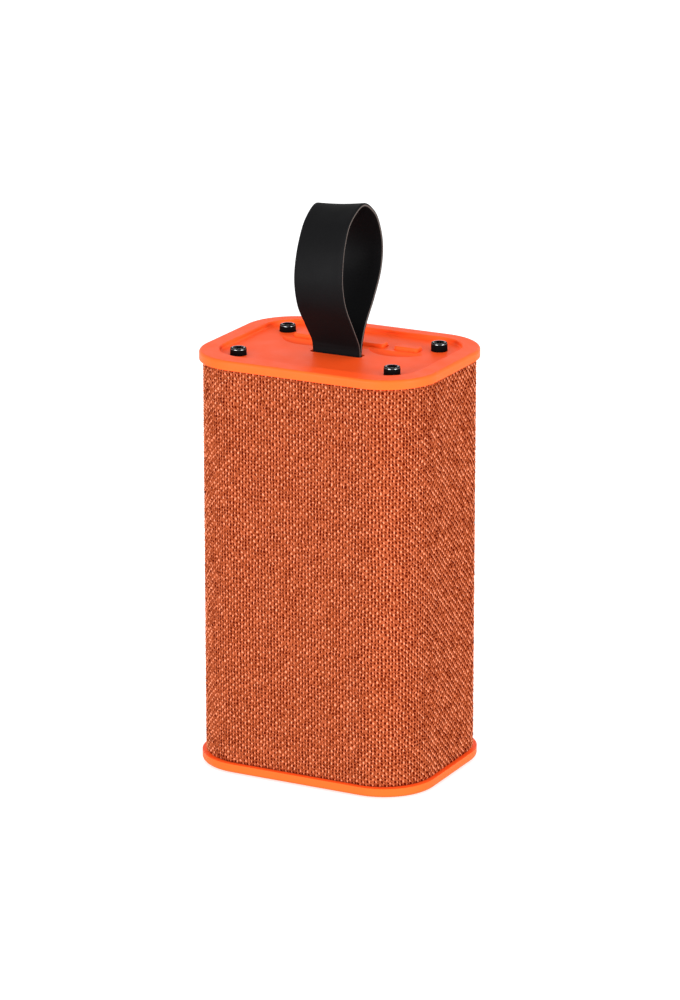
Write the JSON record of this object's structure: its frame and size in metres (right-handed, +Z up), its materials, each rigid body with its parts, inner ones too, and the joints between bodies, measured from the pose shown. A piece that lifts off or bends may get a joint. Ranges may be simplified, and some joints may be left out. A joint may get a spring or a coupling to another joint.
{
  "type": "portable bluetooth speaker",
  "caption": "Upright rounded-box wireless speaker in woven cloth between two moulded end caps, with socket screws, a row of press keys and a finger strap on top.",
  "frame": {"origin": "centre of the body's plan, on the surface it stands on", "axes": "+Z up the body towards the strap, -Y out of the front (sound side), +X to the right seen from the front"},
  "size_m": [0.07, 0.0542, 0.1578],
  "materials": {
    "cap_plastic": "satin moulded, fine spark texture",
    "woven_fabric": "coarse woven speaker cloth, mottled",
    "shell_plastic": "matte moulded",
    "grille_steel": "matte powder coat",
    "foam_rubber": "closed-cell foam",
    "black_steel": "black oxide, semi-gloss",
    "insert_brass": "knurled, satin",
    "pad_rubber": "matte",
    "strap_rubber": "matte, fine grain",
    "plain_steel": "zinc plated",
    "switch_plastic": "matte",
    "circuit_board": "solder mask, semi-gloss",
    "module_board": "solder mask, semi-gloss",
    "tinned_steel": "tinned, satin",
    "chip_plastic": "matte epoxy",
    "capacitor_can": "satin can",
    "connector_plastic": "satin nylon",
    "basket_steel": "satin black",
    "surround_rubber": "satin",
    "cone_paper": "pressed paper fibre",
    "coil_copper": "enamelled wire",
    "spider_cloth": "resin-treated cloth",
    "magnet_ferrite": "ground ferrite",
    "contact_brass": "plated tags",
    "cell_wrap": "shrink film, glossy",
    "panel_plastic": "soft-touch matte",
    "jack_plastic": "matte",
    "clear_plastic": "milky light guide",
    "lead_pvc": "red and black insulation",
    "ribbon_film": "film cable"
  },
  "bodies": {
    "housing": {"top_cap": "cap_plastic", "base_cap": "cap_plastic", "fabric_sleeve": "woven_fabric", "shell": "shell_plastic", "front_grille": "grille_steel", "baffle": "shell_plastic", "top_gasket": "foam_rubber", "base_gasket": "foam_rubber", "cap_screws": "black_steel", "base_screws": "black_steel", "cap_inserts": "insert_brass", "base_inserts": "insert_brass", "base_pad": "pad_rubber", "strap_tail": "strap_rubber", "strap_pin": "plain_steel", "strap_clamp": "shell_plastic", "clamp_screws": "plain_steel", "key_switches": "switch_plastic", "main_board": "circuit_board", "board_screws": "plain_steel", "bluetooth_module": "module_board", "module_shield": "tinned_steel", "amplifier_chip": "chip_plastic", "capacitors": "capacitor_can", "board_connectors": "connector_plastic", "driver_basket": "basket_steel", "driver_surround": "surround_rubber", "driver_spider": "spider_cloth", "driver_top_plate": "plain_steel", "driver_magnet": "magnet_ferrite", "driver_yoke": "plain_steel", "driver_terminals": "contact_brass", "radiator_frame": "basket_steel", "radiator_surround": "surround_rubber", "basket_gaskets": "foam_rubber", "basket_screws": "plain_steel", "battery_cell": "cell_wrap", "battery_cradle": "shell_plastic", "battery_tape": "foam_rubber", "protection_board": "circuit_board", "port_panel": "panel_plastic", "port_board": "circuit_board", "port_screws": "plain_steel", "usb_socket": "tinned_steel", "aux_jack": "jack_plastic", "light_pipe": "clear_plastic", "driver_leads": "lead_pvc", "battery_leads": "lead_pvc", "port_ribbon": "ribbon_film"},
    "strap": {"strap_loop": "strap_rubber"},
    "power_key": {"key_power": "cap_plastic"},
    "minus_key": {"key_minus": "cap_plastic"},
    "play_key": {"key_play": "cap_plastic"},
    "plus_key": {"key_plus": "cap_plastic"},
    "cone": {"driver_cone": "cone_paper", "dust_cap": "cone_paper", "voice_coil": "coil_copper"},
    "passive_plate": {"radiator_plate": "cone_paper", "radiator_weight": "plain_steel"}
  },
  "joints": [
    {"name": "strap_flex", "type": "hinge", "parent": "housing", "child": "strap", "pos_m": [0, -0.0015, 0.1169], "axis": [1, 0, 0], "range_deg": [-50, 50], "stiffness_Nm_per_rad": 0.01},
    {"name": "power_key_press", "type": "slide", "parent": "housing", "child": "power_key", "axis": [0, 0, -1], "range_m": [0, 0.0004], "stiffness_N_per_m": 800, "springref_m": -0.0004},
    {"name": "minus_key_press", "type": "slide", "parent": "housing", "child": "minus_key", "axis": [0, 0, -1], "range_m": [0, 0.0004], "stiffness_N_per_m": 800, "springref_m": -0.0004},
    {"name": "play_key_press", "type": "slide", "parent": "housing", "child": "play_key", "axis": [0, 0, -1], "range_m": [0, 0.0004], "stiffness_N_per_m": 800, "springref_m": -0.0004},
    {"name": "plus_key_press", "type": "slide", "parent": "housing", "child": "plus_key", "axis": [0, 0, -1], "range_m": [0, 0.0004], "stiffness_N_per_m": 800, "springref_m": -0.0004},
    {"name": "cone_stroke", "type": "slide", "parent": "housing", "child": "cone", "axis": [0, -1, 0], "range_m": [-0.001, 0.001], "stiffness_N_per_m": 1500},
    {"name": "passive_stroke", "type": "slide", "parent": "housing", "child": "passive_plate", "axis": [0, -1, 0], "range_m": [-0.0015, 0.0015], "stiffness_N_per_m": 900}
  ]
}
